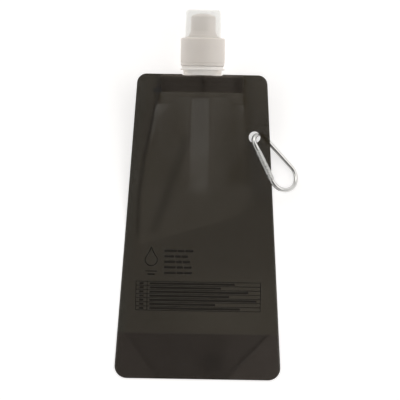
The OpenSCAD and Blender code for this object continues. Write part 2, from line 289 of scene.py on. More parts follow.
def metal_material(name, tone, roughness, ribs_along=None):
    """Bright metal with fine scratches, and shallow ribs across a direction if one is given."""
    m = Nodes(name)
    scratch = m.noise(900, 4, stretch=(1, 1, 6))
    cloud = m.noise(120, 2)
    relief = m.bump(scratch, 0.01, 0.3)
    if ribs_along is not None:
        mapping = m.add("Mapping", Vector=m.coords(), vector_type="TEXTURE")
        mapping.inputs["Rotation"].default_value[2] = math.atan2(ribs_along.y, ribs_along.x)
        turned = mapping.outputs["Vector"]
        ribs = m.add("TexWave", Vector=turned, Scale=GATE_RIB_SCALE, bands_direction="X")
        relief = m.bump(ribs.outputs["Fac"], 0.2, 0.9, relief)
    m.set(
        Base_Color=m.tint(cloud, tuple(0.93 * c for c in tone), tone),
        Metallic=1.0,
        Roughness=m.span(scratch, roughness - 0.05, roughness + 0.08),
        Normal=relief,
    )
    return m.mat


def ink_material(name, tone):
    """Dull ink with fine specks."""
    m = Nodes(name)
    speck = m.noise(3000, 2, uv=True)
    m.set(
        Base_Color=m.tint(speck, tuple(0.7 * c for c in tone), tone),
        Roughness=m.span(speck, 0.5, 0.7),
        Normal=m.bump(speck, 0.005, 0.3),
        Specular_IOR_Level=0.15,
    )
    return m.mat


FILM = film_material("smoke_film", alpha=0.62, roughness=0.17, gloss=0.6)
WELD = film_material("welded_film", alpha=0.62, roughness=0.45, gloss=0.04)
GUSSET = film_material("gusset_film_look", alpha=0.20, roughness=0.25, gloss=0.4)
FROSTED = plastic_material(
    "frosted_plastic", (0.79, 0.73, 0.685), (0.84, 0.78, 0.73), roughness=0.42, subsurface=0.3
)
NECK = plastic_material(
    "neck_plastic", (0.95, 0.90, 0.86), (0.98, 0.935, 0.895), roughness=0.42, subsurface=0.3
)
NOZZLE = plastic_material(
    "nozzle_plastic", (0.84, 0.76, 0.715), (0.89, 0.81, 0.765), roughness=0.38, subsurface=0.2
)
CLEAR = plastic_material(
    "clear_plastic", (0.80, 0.81, 0.785), (0.84, 0.85, 0.825), roughness=0.12, alpha=0.20
)
SEAL = plastic_material("seal_rubber", (0.80, 0.80, 0.78), (0.88, 0.88, 0.86), roughness=0.6)
ALUMINIUM = metal_material("polished_aluminium", (0.72, 0.72, 0.71), roughness=0.18)
GATE_ALUMINIUM = metal_material(
    "ribbed_aluminium",
    (0.60, 0.60, 0.59),
    roughness=0.22,
    ribs_along=-Vector(JOINTS["plunger_slide"]["axis"]),
)
STEEL = metal_material("bright_wire", (0.70, 0.70, 0.71), roughness=0.25)
INK = ink_material("black_ink", (0.010, 0.009, 0.008))
FAINT_INK = ink_material("faint_ink", (0.019, 0.016, 0.0135))


# ---------------------------------------------------------------- mesh helpers
# Steps round the wider turned pieces
SEGMENTS = 128


def place(y, x=0.0, z=0.0):
    """A point in metres from a height along the pouch and millimetres across and up."""
    return Vector((x, y + Y_BOTTOM, z)) * MM


def new_object(name, bm, materials, smooth_angle=None):
    mesh = bpy.data.meshes.new(name)
    bm.to_mesh(mesh)
    bm.free()
    for mat in materials:
        mesh.materials.append(mat)
    mesh.shade_smooth()
    if smooth_angle is not None:
        mesh.set_sharp_from_angle(angle=math.radians(smooth_angle))
    obj = bpy.data.objects.new(name, mesh)
    bpy.context.collection.objects.link(obj)
    return obj


def bake_modifiers(obj):
    """Replaces the object's mesh with the one its modifiers make."""
    graph = bpy.context.evaluated_depsgraph_get()
    graph.update()
    mesh = bpy.data.meshes.new_from_object(obj.evaluated_get(graph))
    obj.modifiers.clear()
    old, obj.data = obj.data, mesh
    bpy.data.meshes.remove(old)
    return obj


def rounded(profile, default=0.3):
    """A closed (radius, height) outline with each corner rounded.

    A point may carry its own rounding as a third value.
    """
    nearly_straight = math.radians(176)
    most, steps = 0.45, 4
    out = []
    count = len(profile)
    for i, p in enumerate(profile):
        here = Vector(p[:2])
        before = Vector(profile[i - 1][:2]) - here
        after = Vector(profile[(i + 1) % count][:2]) - here
        wanted = p[2] if len(p) > 2 else default
        angle = before.angle(after)
        reach = wanted / math.tan(angle / 2) if angle > 1e-3 else 0
        reach = min(reach, most * before.length, most * after.length)
        if wanted <= 0 or angle > nearly_straight or reach < 1e-4:
            out.append(here)
            continue
        a = here + before.normalized() * reach
        b = here + after.normalized() * reach
        for k in range(steps + 1):
            t = k / steps
            out.append((1 - t) ** 2 * a + 2 * t * (1 - t) * here + t * t * b)
    return out


def add_revolve(bm, outline, segments):
    """Turns a closed (radius, height) outline about the bottle's axis."""
    rings = []
    for k in range(segments):
        a = 2 * math.pi * k / segments
        across, up = math.sin(a), math.cos(a)
        rings.append(
            [bm.verts.new(place(p.y, p.x * across, AXIS_H + p.x * up)) for p in outline]
        )
    count = len(outline)
    for k in range(segments):
        here, there = rings[k], rings[(k + 1) % segments]
        for i in range(count):
            j = (i + 1) % count
            bm.faces.new((here[i], here[j], there[j], there[i]))


def revolve(name, outline, mat, segments):
    """A piece that is one rounded outline turned about the bottle's axis."""
    bm = bmesh.new()
    add_revolve(bm, rounded(outline), segments)
    bmesh.ops.remove_doubles(bm, verts=bm.verts, dist=1e-7)
    bmesh.ops.recalc_face_normals(bm, faces=bm.faces)
    return new_object(name, bm, [mat], 40)


def add_ring(bm, centre, normal, side, radius, sides):
    """A closed ring of points round a path point."""
    other = normal.cross(side)
    ring = []
    for k in range(sides):
        a = 2 * math.pi * k / sides
        ring.append(
            bm.verts.new((centre + radius * (side * math.cos(a) + other * math.sin(a))) * MM)
        )
    return ring


def skin_rings(bm, rings):
    """Faces between neighbouring rings of points, and a cap at each end."""
    sides = len(rings[0])
    for a, b in zip(rings, rings[1:]):
        for k in range(sides):
            j = (k + 1) % sides
            bm.faces.new((a[k], a[j], b[j], b[k]))
    bm.faces.new(list(reversed(rings[0])))
    bm.faces.new(rings[-1])


# ---------------------------------------------------------------- the film's surface
def oval_r(thickness):
    """Radius of the two arcs of a pointed oval as wide as the boat."""
    return ((BOAT_W / 2) ** 2 + (thickness / 2) ** 2) / thickness


# The films make a pointed oval round the boat, a little larger than it
OVAL_R = oval_r(BOAT_T)
OVAL_HALF_W = BOAT_W / 2 + 0.6
OVAL_TOP = BOAT_T / 2 + 0.14

# Below the spout the front film makes a ridge with a flat top
RIDGE_X = -1.2
RIDGE_HALF_W = 7.6
FLANK_HALF_W = 38.0
FLANK_FOOT = 0.25

# Lines of (x, y) points: the seals' inner edges, the diagonal fold, the gusset's corner folds
LEFT_SEAL = [(-45.3, 104), (-45.3, 130), (-41.5, 162), (-32, 207)]
RIGHT_SEAL = [(30.5, 120), (34.5, 140), (33.5, 165), (30, 208)]
FOLD = (-34.7, 102), (-8.3, 181)
GUSSET_LEFT = (-31, 2.6), (-53, 32.5)
GUSSET_RIGHT = (29.5, 8.8), (53, 34.2)


def half_w(y):
    return (POUCH_BOTTOM_W + (POUCH_TOP_W - POUCH_BOTTOM_W) * y / POUCH_H) / 2


def corner_cut(d, r):
    return r - math.sqrt(max(0.0, r * r - (r - d) ** 2)) if d < r else 0.0


def edge_x(y):
    return half_w(y) - corner_cut(y, BOTTOM_CORNER_R) - corner_cut(POUCH_H - y, TOP_CORNER_R)


def oval(x):
    """Half the height of the oval that the films make round the boat."""
    if abs(x) >= OVAL_HALF_W - 0.01:
        return 0.0
    return max(0.0, math.sqrt(OVAL_R**2 - x * x) - OVAL_R + OVAL_TOP)


def lift(y):
    """How far the films have opened, from flat (0) to round the boat (1)."""
    return climb((y - RISE_Y0) / (RISE_Y1 - RISE_Y0), EASE, SHARP_EASE)


def start_y(x):
    """Where the film leaves the table: a line that slants down to the left."""
    slanted = 117 + 0.286 * x
    return slanted + (RISE_Y0 - slanted) * fade(x, 22, 14)


def seam_z(x, y):
    """Height of the sealed edge: the middle of the film sandwich."""
    y0 = start_y(x)
    end = SHARP_EASE + (EASE - SHARP_EASE) * fade(x, 22, 11)
    z = CAD_FILM_T + (AXIS_H - CAD_FILM_T) * climb((y - y0) / (RISE_Y1 - y0), EASE, end)
    side = clamp((abs(x) - OVAL_HALF_W) / 17)
    curl_h, phase = (1.5, 0.8) if x < 0 else (-0.7, 2.6)
    curl = curl_h * side * side * fade(y, 196, 26)
    wave = 0.35 * side * math.sin(y / 11.0 + phase) * fade(y, 120, 40)
    return z + curl + wave * (1 - fade(x, 30, 5))


def free_half_w(y):
    """Half the width of the film between the side seals."""
    return half_w(y) - 10 - 8 * fade(y, 115, 35)


def along(points, y):
    """The x of a line of (x, y) points at a height, held beyond its ends."""
    for (x0, y0), (x1, y1) in zip(points, points[1:]):
        if y <= y1 or (x1, y1) == points[-1]:
            return x0 + (x1 - x0) * clamp((y - y0) / (y1 - y0))
    return points[-1][0]


def ledge(d, height, width, decay):
    """A step up over a width that then fades out again."""
    return height * fade(d, 0, width) * (1 - fade(d, width, decay))


def fold_distance(x, y):
    """Distance to the right of the diagonal fold, and its strength there."""
    d, t = line_distance(x, y, *FOLD)
    return d, fade(t, -0.05, 0.2) * fade(t, 1.05, -0.2)


def wrinkle(x, y):
    """Broad uneven swelling of the loose film."""
    broad = Vector((x / 34.0, y / 52.0, 3.7))
    fine = Vector((x / 15.0 + y / 90.0, y / 38.0, 9.1))
    return 0.45 * noise.noise(broad) + 0.12 * noise.noise(fine)


def tent(x, y):
    """The front film between the spout and the table: a flat-topped ridge that turns into
    the boat's oval at the top."""
    rise = lift(y)
    if rise <= 0:
        return 0.0
    off_centre = abs(x - RIDGE_X)
    flank_w = (FLANK_HALF_W - RIDGE_HALF_W) * (0.4 + 0.6 * smooth(1.6 * rise))
    flank = clamp(1 - (off_centre - RIDGE_HALF_W) / flank_w)
    if flank < FLANK_FOOT:
        ramp = flank * flank / (2 * FLANK_FOOT)
    else:
        ramp = flank - FLANK_FOOT / 2
    ramp *= OVAL_TOP / (1 - FLANK_FOOT / 2)
    spread = 14 * fade(off_centre, 19, 11)
    return rise * (ramp + (oval(x) - ramp) * fade(y, 204.5 - spread, 3.6 + spread))


def front_z(x, y):
    """Underside of the front film."""
    across = max(0.0, 1 - (x / free_half_w(y)) ** 2)
    ends = fade(y, 0, 30) * fade(y, BOAT_Y0, -14)
    on_ridge = smooth(5 * lift(y)) * (1 - fade(abs(x - RIDGE_X), 8.5, 14))
    off_ridge = 1 - on_ridge
    seam = seam_z(x, y)
    seam += on_ridge * (seam_z(RIDGE_X, y) - seam)
    puff = PUFF_H * across * fade(y, 0, 30) * fade(y, BOAT_Y0, -40)
    puff *= 1 - on_ridge * fade(y, 138, 30)
    swell = smooth(across * 3) * ends * (0.5 * wrinkle(x, y) + 0.1) * off_ridge
    seals = ledge(x - along(LEFT_SEAL, y), 0.75, 4.5, 20)
    seals += fade(y, 136, 26) * ledge(along(RIGHT_SEAL, y) - x, 0.45, 6, 18)
    seals *= ends * fade(y, 104, 12)
    d, strength = fold_distance(x, y)
    fold = strength * ledge(d + 2.5, 0.8, 6, 16) * off_ridge * ends
    fold *= 1 - fade(y, 130, 24)
    layers = 2 * CAD_FILM_T * fade(y, GUSSET_H + 12, -11.5)
    return seam + tent(x, y) + max(0.0, puff + swell + seals + fold) + layers


def back_z(x, y):
    """Underside of the back film."""
    sag = oval(x) * lift(y)
    return max(0.02, seam_z(x, y) - sag - FILM_T - 0.03)


# ---------------------------------------------------------------- the film's colour
# Linear light: what each part of the film shows in all, painted light and shade included,
# and how much of that is light that it mirrors and lets through
TONE = Vector((0.0367, 0.0325, 0.0262))
GUSSET_TONE = Vector((0.0290, 0.0248, 0.0217))
WELD_TONE = Vector((0.0300, 0.0258, 0.0222))
MIRRORED, GUSSET_MIRRORED, WELD_MIRRORED = 0.0187, 0.0107, 0.0112
# The share of the film's own colour that reaches the picture
SURFACE_GAIN = 0.45
DARKEST = 0.0008
BAND_HALF_W = 9.0


def pillow_edge(x, y):
    """Distance inside the line where the raised part of the film ends."""
    low = (y - 110.6 - 0.304 * x) * 0.957
    right = 36 - 0.04 * (y - 145) - x
    corner_r = 15.0
    if low > corner_r or right > corner_r:
        return min(low, right)
    return corner_r - math.hypot(corner_r - low, corner_r - right)


def matte_from(x):
    """Height where the heat of the weld has dulled the film, lower at the boat's ends."""
    return BOAT_Y0 - 3 - 5 * fade(abs(x), 17, 6)


def body_tone(x, y, raised):
    """The film's tone away from the gusset and the weld, with light and shade painted in."""
    at_band = hill(x, RIDGE_X, BAND_HALF_W)
    # Painted light: the raised film is lighter, most of all in its middle towards the spout, where
    # more of the table's light comes through it.
    tone = TONE * (1 + 0.19 * raised)
    tone *= 1 + 0.11 * raised * hill(x, RIDGE_X, 26) * fade(y, 135, 20)
    tone *= 1 + 0.18 * fade(y, 90, -30) * fade(x, -36, 50)
    # Painted reflection: over the band that mirrors the soft light, darker towards the spout and a
    # little lighter near its lower end.
    tone *= (1 - 0.14 * at_band * fade(y, 148, 36)) * (1 + 0.05 * at_band * hill(y, 136, 14))
    cool = fade(-x, half_w(y) - 9, 6) * (0.6 + 0.4 * fade(y, 70, -30))
    tone.y *= 1 + 0.06 * cool
    tone.z *= 1 + 0.10 * cool
    top_corner = fade(x, 34, 4) * (0.4 + 0.6 * fade(y, 188, 8)) * fade(y, 132, 16)
    # Painted shade: a dark streak along the left seal's inner edge, where the film slopes away from
    # the light, and a darker line along the diagonal fold's crease.
    seal_edge_shade = hill(x - along(LEFT_SEAL, y), 0.5, 3) * fade(y, 98, 12)
    d, strength = fold_distance(x, y)
    tone *= (1 + 0.15 * top_corner) * (1 - 0.32 * seal_edge_shade)
    return tone * (1 - 0.21 * strength * hill(d, -0.5, 6.5))


def gusset_tone(x, y):
    """The darker tone where the folded gusset lies between the films."""
    left, _ = line_distance(x, y, *GUSSET_LEFT)
    right, _ = line_distance(x, y, *GUSSET_RIGHT)
    corners = 0.14 * (1 - fade(left, 0, 3)) + 0.26 * (1 - fade(right, 0, -3))
    # Painted shade: darker lines along the gusset's two corner folds.
    folds = max(0.7 * hill(left, 1, 2.6), hill(right, -1, 2.6))
    tone = GUSSET_TONE * (1 + corners + 0.16 * fade(x, 14, 12))
    tone *= (1 - 0.20 * hill(x, 9, 14) * hill(y, 13, 11)) * (1 - 0.27 * folds)
    tone *= (1 + 0.12 * hill(x, -7, 6) * hill(y, 10, 12)) * (1 + 0.04 * hill(x, 2, 9))
    return tone


def weld_tone(x, y):
    """The tone of the film that is welded to the boat, with a painted highlight along its top
    edge, where the film's edge catches the light.
    """
    tone = WELD_TONE * (1 - 0.36 * hill(x, 0.6, 2.8))
    tone *= (1 - 0.08 * fade(x, -20, -6)) * (1 - 0.30 * hill(x, 26, 6))
    return tone * (1 + 1.3 * fade(y, 219.4, 1.0))


def film_shade(x, y):
    """The film's colour, with painted light and shade: the wanted tone, less the pale light that
    its gloss and the table behind it add, so that seals, folds and layers all keep the smoke
    tint. Where it mirrors more light, its colour is painted darker to make up for it."""
    raised = fade(pillow_edge(x, y), -0.9, 1.8) * fade(x - along(LEFT_SEAL, y), -1, 2.5)
    boat_behind = fade(abs(x), BOAT_W / 2 + 0.5, -1) * fade(y, matte_from(x), 0.8)
    gusset = fade(y, GUSSET_H + 1, -1.2)
    weld = fade(x, -33.2, 4.4) * fade(x, 32.2, -4.4) * fade(y, 208.2, 1.6)
    tone = body_tone(x, y, raised)
    tone += (gusset_tone(x, y) - tone) * gusset
    tone += (weld_tone(x, y) - tone) * weld
    tone *= 1 - 0.75 * hill(x, -33, 5) * hill(y, 210, 2.4)
    # Painted shade: the film's colour is made darker by the extra light it mirrors on its raised
    # flanks and seals.
    sides = 0.0080 * fade(x, 12, 12) + 0.0025 * fade(x, -10, -5)
    mirrored = MIRRORED + raised * fade(y, 138, 8) * sides
    mirrored += 0.0024 * (1 - raised) * fade(y, 140, 40)
    mirrored += (WELD_MIRRORED - mirrored) * boat_behind
    mirrored += (GUSSET_MIRRORED - mirrored) * gusset
    gain = SURFACE_GAIN + 0.04 * weld
    return Vector(max(DARKEST, (part - mirrored) / gain) for part in tone)


# ---------------------------------------------------------------- films
NECK_RING_R = 13.9
NECK_TRIM = 1.0
# Columns of mesh on each side of the middle, over the oval and out to the edge
INNER_COLUMNS = 26
OUTER_COLUMNS = 20
FINE_ROW, COARSE_ROW = 0.7, 1.3


def trimmed(x, y):
    """The film's top edge dips a little where the neck ring stands in front of it."""
    near = fade(abs(x), NECK_RING_R + 0.9, -1.2)
    return y - NECK_TRIM * near * fade(y, POUCH_H - 5, 5)


def corner_rows(radius, step):
    """Depths of rows of points over a rounded corner, a step in degrees apart."""
    return [radius * (1 - math.cos(math.radians(a))) for a in range(0, 91, step)]


def film_rows():
    """Heights of the film mesh's rows, closer together where the shape is fine."""
    rows, y = [], BOTTOM_CORNER_R
    while y < POUCH_H - TOP_CORNER_R - 0.9:
        near = abs(y - FOLD_Y) < 8 or abs(y - HOLE_Y) < 7 or abs(y - GUSSET_H) < 4
        y += FINE_ROW if near or y > BOAT_Y0 - 3 else COARSE_ROW
        rows.append(y)
    top = [POUCH_H - depth for depth in reversed(corner_rows(TOP_CORNER_R, 9))]
    return corner_rows(BOTTOM_CORNER_R, 9) + rows + top


def column_x(c, y):
    k = abs(c)
    if k <= INNER_COLUMNS:
        x = OVAL_HALF_W * k / INNER_COLUMNS
    else:
        x = OVAL_HALF_W + (edge_x(y) - OVAL_HALF_W) * (k - INNER_COLUMNS) / OUTER_COLUMNS
    return math.copysign(x, c) if c else 0.0


def colour_film(bm, flat, shade, uv):
    """Gives each point its colour, and each face's corners their place on the flat film."""
    for v in bm.verts:
        v[shade] = (*film_shade(*flat[v]), 1)
    for face in bm.faces:
        for loop in face.loops:
            loop[uv].uv = [t * MM for t in flat[loop.vert]]


def film_sheet(name, height):
    """One film as a thin closed solid, with the punched hole cut through it."""
    bm = bmesh.new()
    uv = bm.loops.layers.uv.new("flat")
    shade = bm.verts.layers.float_color.new("shade")
    side = INNER_COLUMNS + OUTER_COLUMNS
    flat, grid = {}, []
    for y in film_rows():
        line = []
        for c in range(-side, side + 1):
            x = column_x(c, y)
            cut = trimmed(x, y)
            v = bm.verts.new(place(cut, x, height(x, cut)))
            flat[v] = (x, cut)
            line.append(v)
        grid.append(line)
    doomed = []
    for a, b in zip(grid, grid[1:]):
        for c in range(2 * side):
            face = bm.faces.new((a[c], a[c + 1], b[c + 1], b[c]))
            x = sum(flat[v][0] for v in face.verts) / 4
            y = sum(flat[v][1] for v in face.verts) / 4
            if math.hypot(x - HOLE_X, y - HOLE_Y) < HOLE_R:
                doomed.append(face)
            elif y > matte_from(x) and abs(x) < BOAT_W / 2 + 2:
                face.material_index = 1
    bmesh.ops.delete(bm, geom=doomed, context="FACES")
    for v in bm.verts:
        x, y = flat[v]
        d = math.hypot(x - HOLE_X, y - HOLE_Y)
        if v.is_boundary and d < HOLE_R + 2:
            x = HOLE_X + (x - HOLE_X) * HOLE_R / d
            y = HOLE_Y + (y - HOLE_Y) * HOLE_R / d
            v.co = place(y, x, height(x, y))
            flat[v] = (x, y)
    colour_film(bm, flat, shade, uv)
    obj = new_object(name, bm, [FILM, WELD])
    shell = obj.modifiers.new("thickness", "SOLIDIFY")
    shell.thickness = FILM_T * MM
    shell.offset = 1.0
    shell.use_even_offset = False
    return bake_modifiers(obj)


def bend_at_fold(obj):
    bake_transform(obj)


front_film = film_sheet("front_film", front_z)
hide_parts("front_film_upper", "front_film_lower")
bend_at_fold(front_film)

back_film = film_sheet("back_film", back_z)
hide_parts("back_film_upper", "back_film_lower")
bend_at_fold(back_film)

GUSSET_FILM_T = 0.16
GUSSET_GAP = 0.24
GUSSET_COLUMNS = 30
GUSSET_ROWS = 16


def gusset():
    """One film folded inwards, with the fold at its top."""
    bm = bmesh.new()
    uv = bm.loops.layers.uv.new("flat")
    shade = bm.verts.layers.float_color.new("shade")
    rise = (GUSSET_H - BOTTOM_CORNER_R) / GUSSET_ROWS
    rows = corner_rows(BOTTOM_CORNER_R, 10)
    rows += [BOTTOM_CORNER_R + rise * k for k in range(1, GUSSET_ROWS + 1)]
    low = CAD_FILM_T + 0.03
    path = [(y, low) for y in rows] + [(y, low + GUSSET_GAP) for y in reversed(rows)]
    flat, grid = {}, []
    for y, z in path:
        line = []
        for c in range(-GUSSET_COLUMNS, GUSSET_COLUMNS + 1):
            x = c / GUSSET_COLUMNS * (edge_x(y) - 0.15)
            v = bm.verts.new(place(y, x, z))
            flat[v] = (x, y)
            line.append(v)
        grid.append(line)
    for a, b in zip(grid, grid[1:]):
        for c in range(2 * GUSSET_COLUMNS):
            bm.faces.new((a[c], a[c + 1], b[c + 1], b[c]))
    colour_film(bm, flat, shade, uv)
    obj = new_object("gusset_fold", bm, [GUSSET])
    shell = obj.modifiers.new("thickness", "SOLIDIFY")
    shell.thickness = GUSSET_FILM_T * MM
    shell.offset = 1.0
    return bake_modifiers(obj)


gusset_fold = gusset()
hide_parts("gusset_film")
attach(gusset_fold, "pouch_lower")


# ---------------------------------------------------------------- spout
STEM_R = 12.0
FLANGE_R = 15.2
COLLAR_R = 13.2
THREAD_DEPTH = 1.15
BOAT_RIB_COUNT = 4
BOAT_RIB_PITCH = 3.4
BOAT_RIB_H = 1.6


def boat_outline(thickness):
    """The pointed oval between two arcs, as (x, z) points."""
    steps = 20
    r = oval_r(thickness)
    xs = [-BOAT_W / 2 * math.cos(math.pi * k / steps) for k in range(steps + 1)]
    upper = [(x, math.sqrt(r * r - x * x) - r + thickness / 2) for x in xs]
    return upper + [(x, -z) for x, z in reversed(upper[1:-1])]


def add_boat_layer(bm, thickness, y0, y1):
    """A slab of the boat with its two edges bevelled."""
    edge = 0.25
    inner = boat_outline(thickness - 2 * edge)
    outer = boat_outline(thickness)
    rings = []
    for outline, y in ((inner, y0), (outer, y0 + edge), (outer, y1 - edge), (inner, y1)):
        rings.append([bm.verts.new(place(y, x, AXIS_H + z)) for x, z in outline])
    skin_rings(bm, rings)


def add_neck(bm):
    """The neck from inside the boat to its mouth, with its ring, flange and collar."""
    low, ring_low = BOAT_Y0 + 0.5, POUCH_H - NECK_TRIM + 0.3
    mouth = spout_high.y - Y_BOTTOM
    outline = [
        (BORE_R, low, 0), (STEM_R, low, 0), (STEM_R, ring_low, 0.1), (NECK_RING_R, ring_low),
        (NECK_RING_R, POUCH_H + 2.9, 0.1), (CAP_R, POUCH_H + 3.0), (CAP_R, POUCH_H + 4.2),
        (FLANGE_R, POUCH_H + 4.3, 0.1), (FLANGE_R, POUCH_H + 5.85, 0.2),
        (COLLAR_R, POUCH_H + 5.9), (COLLAR_R, POUCH_H + 8.0), (NECK_R, POUCH_H + 8.2),
        (NECK_R, mouth), (BORE_R, mouth),
    ]
    add_revolve(bm, rounded(outline), SEGMENTS)


def add_thread(bm):
    """The neck's thread, fading out at both ends."""
    start, turns, steps = CAP_Y0 + 8, 1.5, 24
    root = NECK_R - 0.3
    rings = []
    for i in range(int(turns * steps) + 1):
        a = 2 * math.pi * i / steps
        across, down = math.cos(a), math.sin(a)
        y = start + THREAD_PITCH * i / steps
        grown = 0.02 + 0.98 * smooth(min(i, turns * steps - i) / 3)
        crest = NECK_R + THREAD_DEPTH * grown
        section = [(root, -0.85), (crest, -0.4), (crest, 0.4), (root, 0.85)]
        rings.append(
            [bm.verts.new(place(y + h, r * across, AXIS_H - r * down)) for r, h in section]
        )
    skin_rings(bm, rings)


def spout():
    """The ribbed boat, the neck that stands in it, and the neck's thread."""
    bm = bmesh.new()
    add_boat_layer(bm, BOAT_T - 0.3, BOAT_Y0, BOAT_Y0 + BOAT_H)
    for k in range(BOAT_RIB_COUNT):
        y = BOAT_Y0 + 0.6 + BOAT_RIB_PITCH * k
        add_boat_layer(bm, BOAT_T, y, y + BOAT_RIB_H)
    add_neck(bm)
    add_thread(bm)
    bmesh.ops.recalc_face_normals(bm, faces=bm.faces)
    return new_object("spout_body", bm, [NECK], 35)


spout_body = spout()
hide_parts("spout")
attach(spout_body, "pouch_upper")


# ---------------------------------------------------------------- cap, nozzle and cover
PLATE_Y = CAP_Y1 - 1.7
CROWN_Y = CAP_Y1 + 17.4
TOWER_R = 6.9
TOWER_BORE_R = 5.4
TOWER_BEAD_R = 7.3
PLUG_R = 2.35
PLUG_STEM_R = 2.0
SKIRT_R = 14.15
SPOKE_COUNT = 3
SPOKE_SIZE = Vector((4.6, 1.6, 1.4))
SPOKE_CENTRE = Vector((4.0, 0.85, 0.0))
# Where an outline meets the axis of a turned piece
ON_AXIS = 0.001


def screw_cap():
    """The skirt with its valve tower, and the plug that three spokes hold inside it."""
    bm = bmesh.new()
    rim_r, rim_top, tower_top = CAP_R - 0.25, CAP_Y1 + 0.8, CAP_Y1 + 12.6
    shell = [
        (SKIRT_R, CAP_Y0), (rim_r, CAP_Y0, 0.3), (rim_r, CAP_Y0 + 2.3, 0.1),
        (CAP_R, CAP_Y0 + 2.6, 0.1), (CAP_R, CAP_Y1, 0.9), (12.6, CAP_Y1, 0.15),
        (12.3, rim_top, 0.2), (TOWER_R, rim_top, 0.2), (TOWER_R, CAP_Y1 + 11.2, 0.1),
        (TOWER_BEAD_R, CAP_Y1 + 11.4), (TOWER_BEAD_R, CAP_Y1 + 11.8), (TOWER_R, tower_top),
        (TOWER_BORE_R, tower_top), (TOWER_BORE_R, PLATE_Y), (SKIRT_R, PLATE_Y, 0.4),
    ]
    plug_top = CROWN_Y - 0.8
    plug = [
        (ON_AXIS, PLATE_Y, 0), (PLUG_STEM_R, PLATE_Y), (PLUG_STEM_R, CROWN_Y - 3.2),
        (PLUG_R, CROWN_Y - 3.0), (PLUG_R, plug_top, 0.4), (ON_AXIS, plug_top, 0),
    ]
    add_revolve(bm, rounded(shell, 0.25), SEGMENTS)
    add_revolve(bm, rounded(plug, 0.15), 48)
    for k in range(SPOKE_COUNT):
        turn = Matrix.Rotation(2 * math.pi * k / SPOKE_COUNT, 4, "Y")
        for v in bmesh.ops.create_cube(bm, size=1.0)["verts"]:
            corner = (v.co * SPOKE_SIZE + SPOKE_CENTRE) * MM
            v.co = turn @ corner + place(PLATE_Y, 0, AXIS_H)
    bmesh.ops.recalc_face_normals(bm, faces=bm.faces)
    return new_object("cap_shell", bm, [FROSTED], 35)


cap_shell = screw_cap()
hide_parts("screw_cap")
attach(cap_shell, "cap")


def nozzle():
    """A flared foot, a slightly tapered grip and a stepped crown round the plug's hole."""
    base, shoulder, lip = CAP_Y1 + 0.85, CROWN_Y - 1.4, CAP_Y1 + 8.6
    top, roof = CROWN_Y + 0.3, CROWN_Y - 2.8
    hole_r, slide_r, bore_r = PLUG_R + 0.1, TOWER_R + 0.1, TOWER_BEAD_R + 0.15
    outline = [
        (slide_r, base), (10.7, base, 0.08), (10.5, base + 0.9, 0.4), (9.7, base + 2.2, 2.0),
        (9.1, base + 4.0, 2.0), (9.0, base + 5.4, 1.0), (8.9, shoulder - 0.3, 0.8),
        (7.2, shoulder + 0.6, 1.2), (5.6, shoulder + 0.9, 0.4), (4.9, CROWN_Y - 0.1, 0.5),
        (3.4, top, 0.6), (hole_r, top), (hole_r, roof), (5.5, roof), (bore_r, CROWN_Y - 4),
        (bore_r, lip), (slide_r, lip - 0.5),
    ]
    return revolve("nozzle_body", outline, NOZZLE, 96)


nozzle_body = nozzle()
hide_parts("nozzle")
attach(nozzle_body, "nozzle")

COVER_R = (cover_high.x - cover_low.x) / 2
COVER_Y0 = cover_low.y - Y_BOTTOM
COVER_Y1 = cover_high.y - Y_BOTTOM
COVER_WALL = 0.8


def dust_cover():
    """A thin cup with a small bead round its open end."""
    top_r, inside_top = COVER_R - 0.45, COVER_Y1 - COVER_WALL
    outline = [
        (COVER_R - 0.15, COVER_Y0, 0.1), (COVER_R, COVER_Y0 + 0.2, 0.1),
        (COVER_R, COVER_Y0 + 1.2, 0.2), (COVER_R - 0.2, COVER_Y0 + 1.5, 0.2),
        (top_r, COVER_Y1, 2.4), (ON_AXIS, COVER_Y1, 0), (ON_AXIS, inside_top, 0),
        (top_r - COVER_WALL, inside_top, 1.6), (COVER_R - COVER_WALL, COVER_Y0, 0.1),
    ]
    return revolve("cover_shell", outline, CLEAR, SEGMENTS)


cover_shell = dust_cover()
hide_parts("dust_cover")
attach(cover_shell, "cover")


# ---------------------------------------------------------------- carabiner
# The gate's joints say where the carabiner lies: its gate side runs along gate_x.
gate_x = -Vector(JOINTS["plunger_slide"]["axis"]).normalized()
loop_normal = -Vector(JOINTS["gate_open"]["axis"]).normalized()
gate_y = loop_normal.cross(gate_x)
gate_start = Vector(JOINTS["gate_open"]["pos_m"]) / MM - HINGE_S * gate_x
SIDE_LEAN = math.asin((WIDE_R - NARROW_R) / BEND_SPACING)
SIDE_LENGTH = BEND_SPACING * math.cos(SIDE_LEAN)
# Distances along the gate side: where the rod ends at the nose, and the tongues' tips
NOSE_S, NOSE_TIP_S, HEEL_TIP_S = 6.5, 10.5, 25.5
TONGUE_T = 1.5
TONGUE_BEVEL = 0.25
JOINT_GAP = 0.25
ROD_SIDES = 28
ROD_CHAMFER = 0.82
LOOP_TURN = math.radians(90) + SIDE_LEAN
loop_x = math.cos(LOOP_TURN) * gate_x + math.sin(LOOP_TURN) * gate_y
loop_y = -math.sin(LOOP_TURN) * gate_x + math.cos(LOOP_TURN) * gate_y
narrow_centre = gate_start + gate_y * NARROW_R
wide_centre = narrow_centre - BEND_SPACING * loop_y


def arc(centre, radius, a0, a1, steps):
    """Points and directions along an arc in the loop's plane."""
    sense = math.copysign(1, a1 - a0)
    out = []
    for k in range(steps + 1):
        a = a0 + (a1 - a0) * k / steps
        outward = math.cos(a) * loop_x + math.sin(a) * loop_y
        forward = -math.sin(a) * loop_x + math.cos(a) * loop_y
        out.append((centre + radius * outward, forward * sense))
    return out


